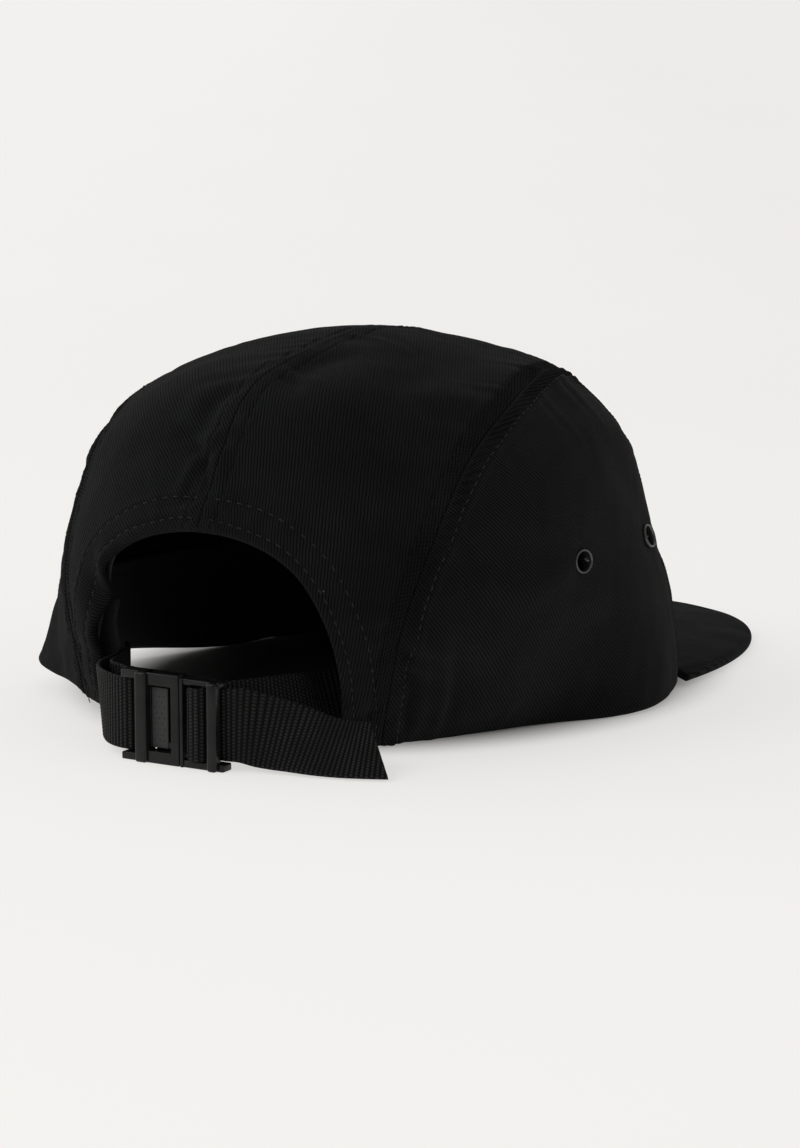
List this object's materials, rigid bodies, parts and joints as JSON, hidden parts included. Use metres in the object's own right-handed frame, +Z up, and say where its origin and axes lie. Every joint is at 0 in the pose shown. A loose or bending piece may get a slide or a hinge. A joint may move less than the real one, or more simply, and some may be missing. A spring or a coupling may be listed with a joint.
{
  "type": "five panel cap",
  "caption": "Soft twill cap with a flat peak, a rounded crown of five panels, an arched back opening and a buckled webbing strap.",
  "frame": {"origin": "middle of the cap's box, on the surface it rests on", "axes": "+Z up, the peak points to -Y, the wearer's left is +X"},
  "size_m": [0.1764, 0.2722, 0.1079],
  "materials": {
    "twill": "matte cotton twill",
    "inner_tape": "plain woven tape",
    "webbing": "ribbed woven webbing",
    "buckle_plastic": "moulded satin plastic",
    "eyelet_metal": "glossy black plating"
  },
  "bodies": {
    "root": {"front_panel": "twill", "back_panel_right": "twill", "side_panel_right": "twill", "back_panel_left": "twill", "side_panel_left": "twill", "peak": "twill", "sweatband": "inner_tape", "arch_binding": "inner_tape", "strap_left": "webbing", "strap_right": "webbing", "buckle_socket": "buckle_plastic", "buckle_tongue": "buckle_plastic", "eyelet_right_rear": "eyelet_metal", "eyelet_right_front": "eyelet_metal", "eyelet_left_rear": "eyelet_metal", "eyelet_left_front": "eyelet_metal"}
  },
  "joints": []
}
